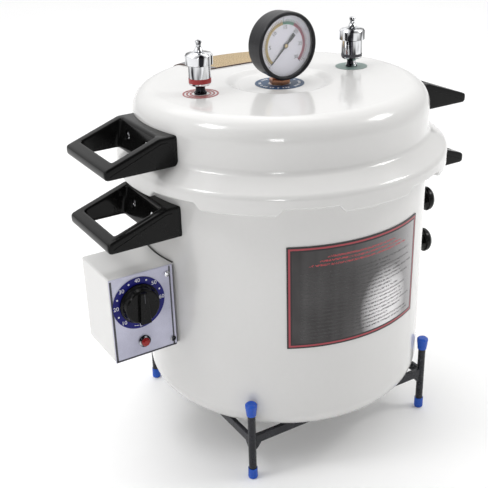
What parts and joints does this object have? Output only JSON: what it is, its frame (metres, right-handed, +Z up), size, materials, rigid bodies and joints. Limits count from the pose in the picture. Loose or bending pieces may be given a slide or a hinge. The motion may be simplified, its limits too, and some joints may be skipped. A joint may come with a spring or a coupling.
{
  "type": "benchtop autoclave",
  "caption": "Benchtop pressure-cooker style steam autoclave: white pot and twist-lock lid with gauge and valves, side timer box, rod stand.",
  "frame": {"origin": "centre of the vessel's axis, on the plane of the stand's feet", "axes": "+Z up along the vessel's axis; +X towards the plain handle side, away from the timer box; -Y towards the front, where the timer panel and the gauge face"},
  "size_m": [0.437, 0.3394, 0.4438],
  "materials": {
    "white_enamel": "gloss",
    "pale_rubber": "matte",
    "mirror_plate": "polished",
    "tan_plate": "satin",
    "bright_chrome": "polished",
    "tube_steel": "satin",
    "blued_steel": "semi-gloss",
    "plain_aluminium": "satin",
    "black_bakelite": "satin",
    "black_paint": "gloss",
    "black_rubber": "matte",
    "silver_panel": "satin",
    "blue_dial": "gloss",
    "white_dial": "matte",
    "red_lens": "gloss",
    "clear_glass": "clear",
    "plain_brass": "satin",
    "copper_nut": "polished",
    "white_ceramic": "matte",
    "blue_vinyl": "gloss"
  },
  "bodies": {
    "pot": {"cable_gland": "black_rubber", "foot_cap_1": "blue_vinyl", "foot_cap_2": "blue_vinyl", "foot_cap_3": "blue_vinyl", "foot_cap_4": "blue_vinyl", "heating_element": "tube_steel", "instruction_plate": "mirror_plate", "panel_screw_1": "bright_chrome", "panel_screw_2": "bright_chrome", "pilot_lamp_body": "bright_chrome", "pilot_lamp_lens": "red_lens", "pot": "white_enamel", "pot_handle_left": "black_bakelite", "pot_handle_left_screw_1": "bright_chrome", "pot_handle_left_screw_2": "bright_chrome", "pot_handle_right": "black_bakelite", "pot_handle_right_screw_1": "bright_chrome", "pot_handle_right_screw_2": "bright_chrome", "rack": "plain_aluminium", "side_peg_lower": "black_bakelite", "side_peg_upper": "black_bakelite", "stand": "blued_steel", "terminal_block": "white_ceramic", "timer_body": "black_bakelite", "timer_box_casing": "white_enamel", "timer_dial": "blue_dial", "timer_panel": "silver_panel", "top_cap_1": "blue_vinyl", "top_cap_2": "blue_vinyl", "top_cap_3": "blue_vinyl", "top_cap_4": "blue_vinyl"},
    "timer_knob": {"timer_knob": "black_bakelite", "timer_shaft": "tube_steel"},
    "basket": {"basket": "plain_aluminium"},
    "lid_ring": {"lid_gasket": "pale_rubber"},
    "lid": {"bourdon_tube": "plain_brass", "gauge_bezel": "black_paint", "gauge_case": "black_paint", "gauge_dial": "white_dial", "gauge_glass": "clear_glass", "gauge_movement": "plain_brass", "gauge_nut": "copper_nut", "gauge_stem": "copper_nut", "lid": "white_enamel", "lid_handle_left": "black_bakelite", "lid_handle_left_screw_1": "bright_chrome", "lid_handle_left_screw_2": "bright_chrome", "lid_handle_right": "black_bakelite", "lid_handle_right_screw_1": "bright_chrome", "lid_handle_right_screw_2": "bright_chrome", "lid_name_plate": "tan_plate", "valve_body_left": "bright_chrome", "valve_body_right": "bright_chrome", "valve_cap_left": "bright_chrome", "valve_cap_right": "bright_chrome", "valve_spring_left": "tube_steel", "valve_spring_right": "tube_steel"},
    "needle": {"gauge_needle": "black_paint"},
    "plunger_left": {"valve_plunger_left": "bright_chrome"},
    "plunger_right": {"valve_plunger_right": "bright_chrome"}
  },
  "joints": [
    {"name": "timer_turn", "type": "hinge", "parent": "pot", "child": "timer_knob", "pos_m": [-0.188, -0.0335, 0.1918], "axis": [0, 1, 0], "range_deg": [0, 270]},
    {"name": "basket_lift", "type": "slide", "parent": "pot", "child": "basket", "axis": [0, 0, 1], "range_m": [0, 0.02]},
    {"name": "lid_lift", "type": "slide", "parent": "pot", "child": "lid_ring", "axis": [0, 0, 1], "range_m": [0, 0.2]},
    {"name": "lid_turn", "type": "hinge", "parent": "lid_ring", "child": "lid", "pos_m": [0, 0, 0.3], "axis": [0, 0, 1], "range_deg": [-22.5, 0]},
    {"name": "needle_turn", "type": "hinge", "parent": "lid", "child": "needle", "pos_m": [0, 0.0085, 0.4105], "axis": [0, 1, 0], "range_deg": [0, 270], "stiffness_Nm_per_rad": 0.002},
    {"name": "valve_left_lift", "type": "slide", "parent": "lid", "child": "plunger_left", "axis": [0, 0, 1], "range_m": [0, 0.004], "stiffness_N_per_m": 800, "deforming": ["valve_spring_left"]},
    {"name": "valve_right_lift", "type": "slide", "parent": "lid", "child": "plunger_right", "axis": [0, 0, 1], "range_m": [0, 0.004], "stiffness_N_per_m": 800, "deforming": ["valve_spring_right"]}
  ]
}
